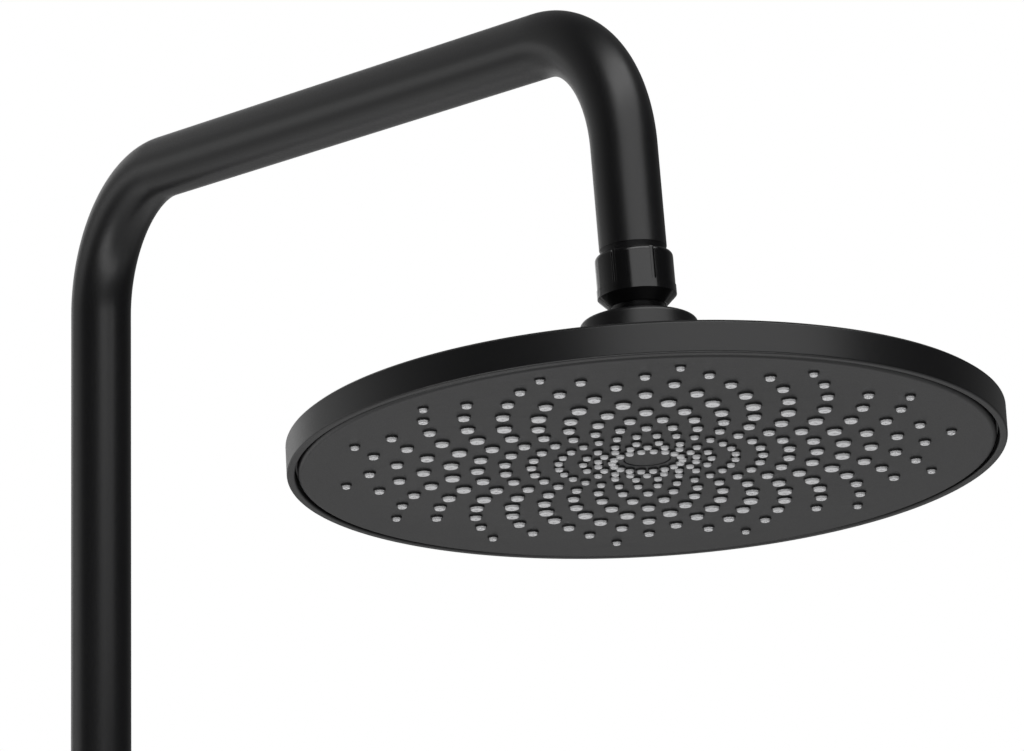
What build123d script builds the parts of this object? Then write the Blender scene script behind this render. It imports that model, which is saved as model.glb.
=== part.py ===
from build123d import *

import os
from math import asin, cos, radians, sin, sqrt, tan

# Overhead shower: bent riser and arm, wall bracket, ball joint and rain head.
# Frame: +Z up, the arm reaches towards -Y, the wall is the plane Y = 0.
# The origin is the middle of the wall plate's back face. Millimetres.

# Riser and arm tube
tube_od = 22.0
tube_wall = 1.2
bend_radius = 48.0
arm_reach = 337.0
drop_lean = 7.3
drop_length = 77.3
riser_above_bracket = 290.0
riser_below_bracket = 130.0

# Where the tube stands
wall_standoff = 60.0

# Arm end, half inch pipe thread
thread_radius = 10.45
thread_clearance = 0.05
nipple_bore_radius = 6.5
nipple_insert_depth = 13.0
nipple_chamfer = 0.8
nipple_collar_step = 0.1
nipple_collar_gap = 0.2
solder_gap = 0.03

# Ball joint, small enough to enter the nut through its thread
ball_below_arm = 94.4
ball_entry_step = 1.2
ball_clearance = 0.05
ball_flat_radius = 5.3
stem_bore_radius = 4.5
stem_shank_radius = 8.3
stem_neck_step = 1.5
stem_neck_length = 1.93
stem_shoulder_step = 1.5
stem_shoulder_thickness = 1.8
stem_shank_depth = 8.0

# Union nut on the arm end
nut_wall = 2.45
nut_height = 17.8
nut_below_ball = 2.3
nut_chamfer = 3.3
nut_barrel_step = 0.18
nut_ledge_height = 3.9
nut_top_round = 2.0
nut_slot_count = 6
nut_slot_width = 1.25
nut_slot_depth = 0.6
nut_slot_turn = 23.0

# Seat, washer, screen and regulator inside the union nut
seat_bottom = 4.0
seat_top_step = 0.5
seat_hole_step = 0.3
seat_side_clearance = 0.08
washer_thickness = 2.0
washer_side_clearance = 0.25
washer_hole_radius = 6.2
screen_thickness = 0.5
screen_lift = 0.8
screen_hole_radius = 0.45
screen_pitch = 1.5
screen_rings = 3
regulator_pocket_radius = 7.5
regulator_end_gap = 0.2
regulator_height = 5.8
regulator_cup_wall = 1.05
regulator_cup_depth = 3.0
regulator_post_radius = 3.2
regulator_ring_radius = 4.6
regulator_ring_section = 1.0
regulator_hole_radius = 0.9
regulator_hole_count = 8

# Head, heights counted from the lowest edge of the rim
head_radius = 115.5
head_lean = 8.2
head_side_lean = 2.45
rim_height = 10.45
rim_lip = 2.65
rim_edge_round = 0.7
rim_top_round = 1.2
shell_wall = 2.4
shell_sag = 2.3
shell_top_height = 37.15
shell_top_radius = 21.0
shell_joint_sag = 0.6
shell_boss_wall = 4.65
shell_floor_thickness = 2.0
shell_floor_hole_step = 1.0
socket_clearance = 0.05
stem_seal_section = 1.0
stem_seal_inset = 1.4

# Collar under the ball
collar_height = 9.6
collar_over_shoulder = 0.8
collar_top_radius = 19.0
collar_base_radius = 20.0
collar_round = 1.8
collar_recess_clearance = 0.4

# Face plate
face_height = 0.55
face_dish = 0.9
face_dish_start_inset = 61.5
face_dish_inset = 25.5
face_band_inset = 15.5
face_edge_proud = 0.3
face_edge_round = 1.6
face_groove_width = 0.85
face_groove_height = 3.0
face_tongue_clearance = 0.2
mat_seat_height = 4.0

# Spray nozzles, from the middle outwards
inner_ring_radius = 11.3
inner_ring_pitch = 4.65
inner_ring_count = 3
inner_ring_nozzles = 18
outer_ring_radius = 28.5
outer_ring_count = 9
outer_ring_nozzles = 28
last_ring_nozzles = 14
last_ring_inset = 17.8
nozzle_turn = 36.0
small_nozzle_diameter = 2.65
nozzle_diameter_step = 0.525
largest_nozzle_ring = 4
nozzle_reach = 1.3
nozzle_bore_radius = 0.6
nozzle_hole_gap = 0.15
nozzle_lip_height = 0.55
nozzle_lip_wall = 0.35
nozzle_lip_root = 1.0

# Silicone mat and spray plate behind the face
mat_thickness = 1.5
mat_inset = 14.8
mat_side_clearance = 0.1
spray_plate_thickness = 2.0
spray_plate_inset = 5.0
spray_side_clearance = 0.2
spray_hole_radius = 0.8
spray_boss_radius = 5.0
spray_boss_height = 6.5
chamber_seal_inset = 6.8
chamber_seal_section = 0.95
chamber_groove_width = 2.0
chamber_groove_depth = 1.4
seal_land_inset = 9.0

# Screws and cap of the head
face_screw_inset = 12.0
face_screw_count = 8
face_screw_radius = 1.45
face_screw_head_radius = 2.7
face_screw_head_height = 1.7
face_screw_depth = 3.1
screw_clearance = 0.05
cap_radius = 7.5
cap_recess = 0.2
cap_depth = 1.35
cap_edge_round = 0.5
centre_screw_radius = 1.5
centre_screw_head_radius = 3.0
centre_screw_head_height = 1.2
centre_screw_bite = 5.5

# Lower union on the riser, three quarter inch pipe thread
tail_insert_length = 15.0
tail_flange_thickness = 3.0
tail_bore_radius = 8.0
tail_flange_clearance = 0.1
lower_thread_step = 1.06
lower_thread_length = 10.5
lower_relief_depth = 0.44
lower_lip_height = 3.0
lower_lip_clearance = 0.2
lower_nut_wall = 2.94
lower_nut_corner_step = 1.6
lower_nut_corner_chamfer = 1.4
lower_washer_thickness = 2.5
lower_washer_clearance = 0.15

# Wall plate, rosette and bracket
plate_radius = 24.0
plate_thickness = 4.0
plate_screw_spacing = 30.0
plate_screw_hole_radius = 2.4
plate_countersink_radius = 4.4
spigot_radius = 6.0
spigot_length = 20.0
spigot_end_gap = 1.0
spigot_groove_depth = 1.0
spigot_groove_width = 5.4
rosette_clearance = 2.5
rosette_depth = 12.0
rosette_wall = 1.5
rosette_edge = 3.5
bracket_arm_radius = 9.0
bracket_clearance = 0.05
grub_screw_radius = 2.5
grub_screw_from_wall = 17.0
grub_screw_sink = 0.6
grub_key_across_flats = 2.5
grub_key_depth = 1.6
clamp_radius = 17.0
clamp_wall = 2.5
clamp_height = 24.0
clamp_gap = 1.0
clamp_ear_reach = 26.0
clamp_ear_thickness = 6.0
clamp_ear_height = 14.0
clamp_edge_chamfer = 0.8
clamp_screw_offset = 21.0
clamp_screw_radius = 2.0
clamp_screw_head_radius = 3.5
clamp_screw_head_height = 3.0
clamp_screw_head_recess = 3.2
clamp_screw_bite = 5.4
clamp_screw_key_across_flats = 3.0
clamp_screw_key_depth = 1.8
liner_thickness = 0.95
liner_height = 22.0
liner_split = 1.5

# Worked out from the sizes above
tube_radius = tube_od / 2
tube_bore_radius = tube_radius - tube_wall
riser_y = -wall_standoff
drop_y = riser_y - arm_reach
riser_end_z = -riser_below_bracket

# Ball joint and stem, heights below the ball's centre
ball_radius = thread_radius - ball_entry_step
seat_radius = ball_radius + ball_clearance
stem_neck_radius = stem_shank_radius - stem_neck_step
stem_shoulder_radius = stem_shank_radius + stem_shoulder_step
neck_below_ball = sqrt(ball_radius**2 - stem_neck_radius**2)
shoulder_top_below_ball = neck_below_ball + stem_neck_length
shoulder_base_below_ball = shoulder_top_below_ball + stem_shoulder_thickness
collar_top_below_ball = shoulder_top_below_ball - collar_over_shoulder
collar_base_below_ball = collar_top_below_ball + collar_height
shank_end_below_ball = collar_base_below_ball + stem_shank_depth
head_below_ball = collar_base_below_ball + shell_top_height
stem_socket_radius = stem_shank_radius + socket_clearance

# Where the drop, the ball and the head stand
drop_down = Vector(0, -sin(radians(drop_lean)), -cos(radians(drop_lean)))
arm_corner = Vector(0, drop_y, riser_above_bracket)
ball_centre = arm_corner + drop_down * ball_below_arm
head_up = Vector(tan(radians(head_side_lean)), tan(radians(head_lean)), 1).normalized()

drop_frame = Plane(origin=ball_centre, x_dir=(1, 0, 0), z_dir=-drop_down)
ball_frame = Plane(origin=ball_centre, x_dir=Vector(1, 0, -head_up.X / head_up.Z), z_dir=head_up)
rim_frame = ball_frame.offset(-head_below_ball)
riser_frame = Plane(origin=(0, riser_y, 0), x_dir=(1, 0, 0), z_dir=(0, 0, 1))
wall_frame = Plane(origin=(0, 0, 0), x_dir=(1, 0, 0), z_dir=(0, -1, 0))

# Arm end, heights above the ball's centre
tube_end_height = ball_below_arm - drop_length
nut_radius = thread_radius + nut_wall
nut_top = nut_height - nut_below_ball
seat_top = seat_radius - seat_top_step
seat_hole_radius = ball_flat_radius + seat_hole_step
nipple_end = seat_top + washer_thickness
nipple_thread_radius = thread_radius - thread_clearance
regulator_top = nipple_end + regulator_height

# Head, heights above the rim's lowest edge
face_ring_height = mat_seat_height + mat_thickness
spray_plate_top = face_ring_height + spray_plate_thickness
shoulder_radius = head_radius - rim_top_round
shoulder_height = rim_height + rim_top_round / 4
seal_land_radius = head_radius - seal_land_inset
chamber_seal_radius = head_radius - chamber_seal_inset
spray_plate_radius = head_radius - spray_plate_inset
mat_radius = head_radius - mat_inset
face_screw_circle = head_radius - face_screw_inset
face_radius = head_radius - rim_lip - face_groove_width
face_dish_start_radius = head_radius - face_dish_start_inset
face_dish_radius = head_radius - face_dish_inset
face_band_radius = head_radius - face_band_inset
face_band_slope = (face_height + face_dish + face_edge_proud) / (
    face_radius - (face_dish_radius + face_band_radius) / 2
)
outer_ring_pitch = (head_radius - last_ring_inset - outer_ring_radius) / (outer_ring_count - 1)
cap_bottom = face_height + cap_recess
cap_top = face_height + cap_depth

# Lower union and bracket
lower_thread_radius = tube_radius + lower_thread_step
lower_relief_radius = lower_thread_radius + lower_relief_depth
lower_nut_flat_radius = lower_thread_radius + lower_nut_wall
lower_nut_corner_radius = lower_nut_flat_radius + lower_nut_corner_step
rosette_radius = plate_radius + rosette_clearance + rosette_wall
liner_inside = tube_radius + bracket_clearance
clamp_bore_radius = liner_inside + liner_thickness + bracket_clearance


def axis_of(frame):
    """The axis that a turned piece is revolved about."""
    return Axis(frame.origin, frame.z_dir)


def section_of(frame):
    """The plane through that axis: X is the radius, Y the height along the axis."""
    return Plane(origin=frame.origin, x_dir=frame.x_dir, z_dir=-frame.y_dir)


def turned_outline(frame, *points):
    """A closed outline of straight sides, given as radius and height."""
    with BuildSketch(section_of(frame)) as outline:
        with BuildLine():
            Polyline(*points, close=True)
        make_face()
    return outline.sketch


def on_sphere(radius, height):
    """Radius of a sphere's section at a height from its centre."""
    return sqrt(radius**2 - height**2)


def eased(share):
    """Share of a rise made of two equal and opposite arcs, level at both ends."""
    share = min(max(share, 0), 1)
    return 2 * share**2 if share < 0.5 else 1 - 2 * (1 - share) ** 2


def face_level(radius):
    """Height of the face plate's visible side: flat, a shallow rise, then a bend into a straight fall."""
    rise = (radius - face_dish_start_radius) / (face_dish_radius - face_dish_start_radius)
    bend_width = face_band_radius - face_dish_radius
    bend = max((radius - face_dish_radius) / bend_width, 0)
    fall = bend**2 / 2 if bend < 1 else bend - 1 / 2
    return face_height + face_dish * eased(rise) - face_band_slope * bend_width * fall


def shell_level(radius):
    """Height of the back shell's outside on the straight line from shoulder to collar."""
    share = (radius - shell_top_radius) / (shoulder_radius - shell_top_radius)
    return shell_top_height + share * (shoulder_height - shell_top_height)


def nozzle_rings():
    """Radius, count, turn and nozzle diameter of each ring."""
    rings = []
    for ring in range(inner_ring_count):
        radius = inner_ring_radius + ring * inner_ring_pitch
        turn = nozzle_turn + (1 - ring % 2) * 180 / inner_ring_nozzles
        rings.append((radius, inner_ring_nozzles, turn, small_nozzle_diameter))
    for ring in range(outer_ring_count):
        radius = outer_ring_radius + ring * outer_ring_pitch
        count = last_ring_nozzles if ring == outer_ring_count - 1 else outer_ring_nozzles
        turn = nozzle_turn + (ring % 2) * 180 / outer_ring_nozzles
        steps = largest_nozzle_ring - abs(ring - largest_nozzle_ring)
        rings.append((radius, count, turn, small_nozzle_diameter + nozzle_diameter_step * steps))
    return rings


def nozzle_bores(height, bore_radius):
    """A circle on every nozzle's axis, all on one level."""
    with BuildSketch(rim_frame.offset(height)) as circles:
        for radius, count, turn, _ in nozzle_rings():
            with PolarLocations(radius, count, start_angle=turn):
                Circle(bore_radius)
    return circles.sketch


def outer_edge(piece, frame, rank):
    """The widest round edge among the highest (-1) or lowest (0) ones along the frame's axis."""
    level_edges = piece.edges().filter_by(GeomType.CIRCLE).group_by(axis_of(frame))[rank]
    return level_edges.sort_by(SortBy.RADIUS)[-1]


# Riser and arm: one bent tube
with BuildPart() as riser_arm_tube:
    drop_end = arm_corner + drop_down * drop_length
    with BuildLine(Plane.YZ) as route:
        FilletPolyline(
            (riser_y, riser_end_z),
            (riser_y, riser_above_bracket),
            (drop_y, riser_above_bracket),
            (drop_end.Y, drop_end.Z),
            radius=bend_radius,
        )
    with BuildSketch(Plane(origin=route.line @ 0, z_dir=route.line % 0)):
        Circle(tube_radius)
        Circle(tube_bore_radius, mode=Mode.SUBTRACT)
    sweep()
riser_arm_tube.part.label = "riser_arm_tube"

# Arm nipple: threaded end with a short tapered collar, brazed into the drop
with BuildPart() as arm_nipple:
    insert_radius = tube_bore_radius - solder_gap
    revolve(
        turned_outline(
            drop_frame,
            (regulator_pocket_radius, nipple_end),
            (nipple_thread_radius - nipple_chamfer, nipple_end),
            (nipple_thread_radius, nipple_end + nipple_chamfer),
            (nipple_thread_radius, nut_top + nipple_collar_gap),
            (tube_radius - nipple_collar_step, tube_end_height),
            (insert_radius, tube_end_height),
            (insert_radius, tube_end_height + nipple_insert_depth),
            (nipple_bore_radius, tube_end_height + nipple_insert_depth),
            (nipple_bore_radius, regulator_top + regulator_end_gap),
            (regulator_pocket_radius, regulator_top + regulator_end_gap),
        ),
        axis=axis_of(drop_frame),
    )
arm_nipple.part.label = "arm_nipple"

# Union nut: slotted barrel, plain band, chamfer and a lip that holds the ball
with BuildPart() as union_nut:
    barrel_radius = nut_radius - nut_barrel_step
    lip_radius = on_sphere(seat_radius, nut_below_ball)
    half_way = asin(nut_below_ball / seat_radius) / 2
    with BuildSketch(section_of(drop_frame)):
        with BuildLine():
            Polyline(
                (lip_radius, -nut_below_ball),
                (nut_radius - nut_chamfer, -nut_below_ball),
                (nut_radius, nut_chamfer - nut_below_ball),
                (nut_radius, nut_ledge_height),
                (barrel_radius, nut_ledge_height),
                (barrel_radius, nut_top),
                (thread_radius, nut_top),
                (thread_radius, seat_top),
                (seat_radius, seat_top),
                (seat_radius, 0),
            )
            ThreePointArc(
                (seat_radius, 0),
                (seat_radius * cos(half_way), -seat_radius * sin(half_way)),
                (lip_radius, -nut_below_ball),
            )
        make_face()
    revolve(axis=axis_of(drop_frame))
    fillet(outer_edge(union_nut, drop_frame, -1), nut_top_round)
    with BuildSketch(drop_frame.offset(nut_ledge_height)):
        with PolarLocations(barrel_radius, nut_slot_count, start_angle=nut_slot_turn):
            Rectangle(2 * nut_slot_depth, nut_slot_width)
    extrude(amount=nut_height, mode=Mode.SUBTRACT)
union_nut.part.label = "union_nut"

# Ball seat: ring that presses on top of the ball
with BuildPart() as ball_seat:
    ring_radius = seat_radius - seat_side_clearance
    foot_radius = on_sphere(seat_radius, seat_bottom)
    hole_height = on_sphere(seat_radius, seat_hole_radius)
    half_way = (asin(seat_bottom / seat_radius) + asin(hole_height / seat_radius)) / 2
    with BuildSketch(section_of(drop_frame)):
        with BuildLine():
            Polyline(
                (foot_radius, seat_bottom),
                (ring_radius, seat_bottom),
                (ring_radius, seat_top),
                (seat_hole_radius, seat_top),
                (seat_hole_radius, hole_height),
            )
            ThreePointArc(
                (seat_hole_radius, hole_height),
                (seat_radius * cos(half_way), seat_radius * sin(half_way)),
                (foot_radius, seat_bottom),
            )
        make_face()
    revolve(axis=axis_of(drop_frame))
ball_seat.part.label = "ball_seat"

# Inlet washer: rubber, between the seat and the nipple
with BuildPart() as inlet_washer:
    with BuildSketch(drop_frame.offset(seat_top)):
        Circle(thread_radius - washer_side_clearance)
        Circle(washer_hole_radius, mode=Mode.SUBTRACT)
    extrude(amount=washer_thickness)
inlet_washer.part.label = "inlet_washer"

# Filter screen: perforated disc in the washer's hole
with BuildPart() as filter_screen:
    with BuildSketch(drop_frame.offset(seat_top + screen_lift)):
        Circle(washer_hole_radius - socket_clearance)
        Circle(screen_hole_radius, mode=Mode.SUBTRACT)
        for ring in range(1, screen_rings + 1):
            with PolarLocations(ring * screen_pitch, 6 * ring):
                Circle(screen_hole_radius, mode=Mode.SUBTRACT)
    extrude(amount=screen_thickness)
filter_screen.part.label = "filter_screen"

# Flow regulator: plastic cup with a ring of holes round a post
with BuildPart() as flow_regulator:
    cup_floor = regulator_top - regulator_cup_depth
    with BuildSketch(drop_frame.offset(nipple_end)):
        Circle(regulator_pocket_radius - socket_clearance)
    extrude(amount=regulator_height)
    with BuildSketch(drop_frame.offset(cup_floor)):
        Circle(regulator_pocket_radius - regulator_cup_wall - socket_clearance)
        Circle(regulator_post_radius, mode=Mode.SUBTRACT)
    extrude(amount=regulator_cup_depth, mode=Mode.SUBTRACT)
    with BuildSketch(drop_frame.offset(nipple_end)):
        with PolarLocations(regulator_ring_radius, regulator_hole_count):
            Circle(regulator_hole_radius)
    extrude(amount=regulator_height, mode=Mode.SUBTRACT)
flow_regulator.part.label = "flow_regulator"

# Regulator ring: rubber ring that closes the holes as the pressure rises
with BuildPart() as regulator_ring:
    with BuildSketch(section_of(drop_frame)):
        with Locations((regulator_ring_radius, cup_floor + regulator_ring_section)):
            Circle(regulator_ring_section)
    revolve(axis=axis_of(drop_frame))
regulator_ring.part.label = "regulator_ring"

# Ball stem: bored ball, neck, shoulder and threaded shank
with BuildPart() as ball_stem:
    flat_height = on_sphere(ball_radius, ball_flat_radius)
    with BuildSketch(section_of(ball_frame)):
        with BuildLine():
            ThreePointArc(
                (ball_flat_radius, flat_height),
                (ball_radius, 0),
                (stem_neck_radius, -neck_below_ball),
            )
            Polyline(
                (stem_neck_radius, -neck_below_ball),
                (stem_neck_radius, -shoulder_top_below_ball),
                (stem_shoulder_radius, -shoulder_top_below_ball),
                (stem_shoulder_radius, -shoulder_base_below_ball),
                (stem_shank_radius, -shoulder_base_below_ball),
                (stem_shank_radius, -shank_end_below_ball),
                (stem_bore_radius, -shank_end_below_ball),
                (stem_bore_radius, flat_height),
                (ball_flat_radius, flat_height),
            )
        make_face()
    revolve(axis=axis_of(ball_frame))
ball_stem.part.label = "ball_stem"

# Neck collar: domed ring clamped between the stem's shoulder and the shell
with BuildPart() as neck_collar:
    revolve(
        turned_outline(
            ball_frame,
            (stem_socket_radius, -shoulder_base_below_ball),
            (stem_shoulder_radius + collar_recess_clearance, -shoulder_base_below_ball),
            (stem_shoulder_radius + collar_recess_clearance, -collar_top_below_ball),
            (collar_top_radius, -collar_top_below_ball),
            (collar_base_radius, -collar_base_below_ball),
            (stem_socket_radius, -collar_base_below_ball),
        ),
        axis=axis_of(ball_frame),
    )
    fillet(outer_edge(neck_collar, ball_frame, -1), collar_round)
neck_collar.part.label = "neck_collar"

# Stem seal: rubber ring under the shank
with BuildPart() as stem_seal:
    with BuildSketch(section_of(ball_frame)):
        with Locations((stem_shank_radius - stem_seal_inset, -shank_end_below_ball - stem_seal_section)):
            Circle(stem_seal_section)
    revolve(axis=axis_of(ball_frame))
stem_seal.part.label = "stem_seal"

# Back shell: rim, shallow dome and the socket for the stem
with BuildPart() as back_shell:
    middle_radius = (shoulder_radius + shell_top_radius) / 2
    roof_radius = shell_top_radius + shell_wall
    roof_height = shell_level(roof_radius) - shell_wall
    land_height = shell_level(seal_land_radius) - shell_wall - shell_joint_sag
    boss_radius = stem_socket_radius + shell_boss_wall
    floor_top = shell_top_height - stem_shank_depth - 2 * stem_seal_section
    floor_bottom = floor_top - shell_floor_thickness
    floor_hole_radius = stem_bore_radius + shell_floor_hole_step
    rebate_radius = spray_plate_radius + spray_side_clearance
    with BuildSketch(section_of(rim_frame)):
        with BuildLine():
            Polyline(
                (stem_socket_radius, shell_top_height),
                (shell_top_radius, shell_top_height),
            )
            ThreePointArc(
                (shell_top_radius, shell_top_height),
                (middle_radius, shell_level(middle_radius) - shell_sag),
                (shoulder_radius, shoulder_height),
            )
            Polyline(
                (shoulder_radius, shoulder_height),
                (head_radius, rim_height - rim_top_round / 2),
                (head_radius, 0),
                (head_radius - rim_lip, 0),
                (head_radius - rim_lip, face_ring_height),
                (rebate_radius, face_ring_height),
                (rebate_radius, spray_plate_top),
                (seal_land_radius, spray_plate_top),
                (seal_land_radius, land_height),
            )
            ThreePointArc(
                (seal_land_radius, land_height),
                (middle_radius, shell_level(middle_radius) - shell_sag - shell_wall),
                (roof_radius, roof_height),
            )
            Polyline(
                (roof_radius, roof_height),
                (boss_radius, roof_height),
                (boss_radius, floor_bottom),
                (floor_hole_radius, floor_bottom),
                (floor_hole_radius, floor_top),
                (stem_socket_radius, floor_top),
                (stem_socket_radius, shell_top_height),
            )
        make_face()
    revolve(axis=axis_of(rim_frame))
    with BuildSketch(rim_frame.offset(spray_plate_top)):
        Circle(chamber_seal_radius + chamber_groove_width / 2)
        Circle(chamber_seal_radius - chamber_groove_width / 2, mode=Mode.SUBTRACT)
    extrude(amount=2 * chamber_seal_section - chamber_groove_depth, mode=Mode.SUBTRACT)
    lip_edges = back_shell.edges().filter_by(GeomType.CIRCLE).group_by(axis_of(rim_frame))[0]
    fillet(lip_edges, rim_edge_round)
back_shell.part.label = "back_shell"

# Face plate: dished disc with a lipped hole for each nozzle
with BuildPart() as face_plate:
    bowl_radius = (face_dish_start_radius + face_dish_radius) / 2
    tongue_radius = head_radius - rim_lip - face_tongue_clearance
    pocket_radius = mat_radius + mat_side_clearance
    with BuildSketch(section_of(rim_frame)):
        with BuildLine():
            Line((0, face_height), (face_dish_start_radius, face_height))
            rise = TangentArc(
                (face_dish_start_radius, face_height),
                (bowl_radius, face_level(bowl_radius)),
                tangent=(1, 0),
            )
            crest = TangentArc(rise @ 1, (face_dish_radius, face_level(face_dish_radius)), tangent=rise % 1)
            bend = TangentArc(crest @ 1, (face_band_radius, face_level(face_band_radius)), tangent=crest % 1)
            Polyline(
                bend @ 1,
                (face_radius, -face_edge_proud),
                (face_radius, face_groove_height),
                (tongue_radius, face_groove_height),
                (tongue_radius, face_ring_height),
                (pocket_radius, face_ring_height),
                (pocket_radius, mat_seat_height),
                (0, mat_seat_height),
                (0, face_height),
            )
        make_face()
    revolve(axis=axis_of(rim_frame))
    fillet(outer_edge(face_plate, rim_frame, 0), face_edge_round)
    for radius, count, turn, diameter in nozzle_rings():
        with BuildSketch(rim_frame.offset(face_level(radius) - nozzle_lip_height)):
            with PolarLocations(radius, count, start_angle=turn):
                Circle(diameter / 2 + nozzle_hole_gap + nozzle_lip_wall)
        extrude(amount=nozzle_lip_height + nozzle_lip_root)
    for radius, count, turn, diameter in nozzle_rings():
        with BuildSketch(rim_frame.offset(mat_seat_height)):
            with PolarLocations(radius, count, start_angle=turn):
                Circle(diameter / 2 + nozzle_hole_gap)
        extrude(amount=-2 * mat_seat_height, mode=Mode.SUBTRACT)
    with BuildSketch(rim_frame.offset(cap_top)):
        Circle(cap_radius + mat_side_clearance)
    extrude(amount=-2 * cap_top, mode=Mode.SUBTRACT)
    with BuildSketch(rim_frame.offset(cap_top)):
        Circle(centre_screw_head_radius + screw_clearance)
    extrude(amount=centre_screw_head_height, mode=Mode.SUBTRACT)
    with BuildSketch(rim_frame):
        Circle(centre_screw_radius + screw_clearance)
    extrude(amount=face_ring_height, mode=Mode.SUBTRACT)
    with BuildSketch(rim_frame.offset(face_ring_height)):
        with PolarLocations(face_screw_circle, face_screw_count):
            Circle(face_screw_radius + screw_clearance)
    extrude(amount=-face_screw_depth, mode=Mode.SUBTRACT)
face_plate.part.label = "face_plate"

# Nozzle mat: silicone sheet with every nozzle moulded on it
with BuildPart() as nozzle_mat:
    with BuildSketch(rim_frame.offset(mat_seat_height)):
        Circle(mat_radius)
    extrude(amount=mat_thickness)
    for radius, count, turn, diameter in nozzle_rings():
        with BuildSketch(rim_frame.offset(mat_seat_height)):
            with PolarLocations(radius, count, start_angle=turn):
                Circle(diameter / 2)
        extrude(amount=face_level(radius) - nozzle_reach - mat_seat_height)
    mat_bores = nozzle_bores(mat_seat_height + mat_thickness, nozzle_bore_radius)
    extrude(mat_bores, amount=-2 * mat_seat_height, mode=Mode.SUBTRACT)
    with BuildSketch(rim_frame.offset(mat_seat_height)):
        Circle(centre_screw_radius + screw_clearance)
    extrude(amount=mat_thickness, mode=Mode.SUBTRACT)
nozzle_mat.part.label = "nozzle_mat"

# Spray plate: clamps the mat and feeds each nozzle
with BuildPart() as spray_plate:
    with BuildSketch(rim_frame.offset(face_ring_height)):
        Circle(spray_plate_radius)
    extrude(amount=spray_plate_thickness)
    with BuildSketch(rim_frame.offset(spray_plate_top)):
        Circle(spray_boss_radius)
    extrude(amount=spray_boss_height)
    spray_holes = nozzle_bores(face_ring_height, spray_hole_radius)
    extrude(spray_holes, amount=spray_plate_thickness, mode=Mode.SUBTRACT)
    with BuildSketch(rim_frame.offset(face_ring_height)):
        Circle(centre_screw_radius + screw_clearance)
    extrude(amount=centre_screw_bite, mode=Mode.SUBTRACT)
    with BuildSketch(rim_frame.offset(face_ring_height)):
        with PolarLocations(face_screw_circle, face_screw_count):
            Circle(face_screw_radius + screw_clearance)
    extrude(amount=spray_plate_thickness, mode=Mode.SUBTRACT)
    with BuildSketch(rim_frame.offset(spray_plate_top)):
        Circle(chamber_seal_radius + chamber_groove_width / 2)
        Circle(chamber_seal_radius - chamber_groove_width / 2, mode=Mode.SUBTRACT)
    extrude(amount=-chamber_groove_depth, mode=Mode.SUBTRACT)
spray_plate.part.label = "spray_plate"

# Chamber seal: rubber ring between the spray plate and the shell
with BuildPart() as chamber_seal:
    seal_height = spray_plate_top - chamber_groove_depth + chamber_seal_section
    with BuildSketch(section_of(rim_frame)):
        with Locations((chamber_seal_radius, seal_height)):
            Circle(chamber_seal_section)
    revolve(axis=axis_of(rim_frame))
chamber_seal.part.label = "chamber_seal"

# Face screws: a ring of pan head screws, spray plate to face plate
with BuildPart() as face_screws:
    with BuildSketch(rim_frame.offset(spray_plate_top)):
        with PolarLocations(face_screw_circle, face_screw_count):
            Circle(face_screw_head_radius)
    extrude(amount=face_screw_head_height)
    with BuildSketch(rim_frame.offset(spray_plate_top)):
        with PolarLocations(face_screw_circle, face_screw_count):
            Circle(face_screw_radius)
    extrude(amount=-spray_plate_thickness - face_screw_depth)
face_screws.part.label = "face_screws"

# Centre screw: pulls the middle of the face to the spray plate
with BuildPart() as centre_screw:
    with BuildSketch(rim_frame.offset(cap_top)):
        Circle(centre_screw_head_radius)
    extrude(amount=centre_screw_head_height)
    with BuildSketch(rim_frame.offset(cap_top + centre_screw_head_height)):
        Circle(centre_screw_radius)
    extrude(amount=face_ring_height + centre_screw_bite - cap_top - centre_screw_head_height)
centre_screw.part.label = "centre_screw"

# Centre cap: plain button pressed over the screw
with BuildPart() as centre_cap:
    with BuildSketch(rim_frame.offset(cap_bottom)):
        Circle(cap_radius)
    extrude(amount=cap_top - cap_bottom)
    fillet(centre_cap.edges().group_by(axis_of(rim_frame))[0], cap_edge_round)
centre_cap.part.label = "centre_cap"

# Riser tailpiece: flanged bush brazed into the riser's foot
with BuildPart() as riser_tailpiece:
    insert_radius = tube_bore_radius - solder_gap
    flange_radius = lower_thread_radius - tail_flange_clearance
    revolve(
        turned_outline(
            riser_frame,
            (tail_bore_radius, riser_end_z - tail_flange_thickness),
            (flange_radius, riser_end_z - tail_flange_thickness),
            (flange_radius, riser_end_z),
            (insert_radius, riser_end_z),
            (insert_radius, riser_end_z + tail_insert_length),
            (tail_bore_radius, riser_end_z + tail_insert_length),
        ),
        axis=axis_of(riser_frame),
    )
riser_tailpiece.part.label = "riser_tailpiece"

# Lower washer: flat rubber seal under the flange
with BuildPart() as lower_washer:
    washer_top = riser_end_z - tail_flange_thickness
    with BuildSketch(riser_frame.offset(washer_top)):
        Circle(lower_thread_radius - lower_washer_clearance)
        Circle(tail_bore_radius + lower_washer_clearance, mode=Mode.SUBTRACT)
    extrude(amount=-lower_washer_thickness)
lower_washer.part.label = "lower_washer"

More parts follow.
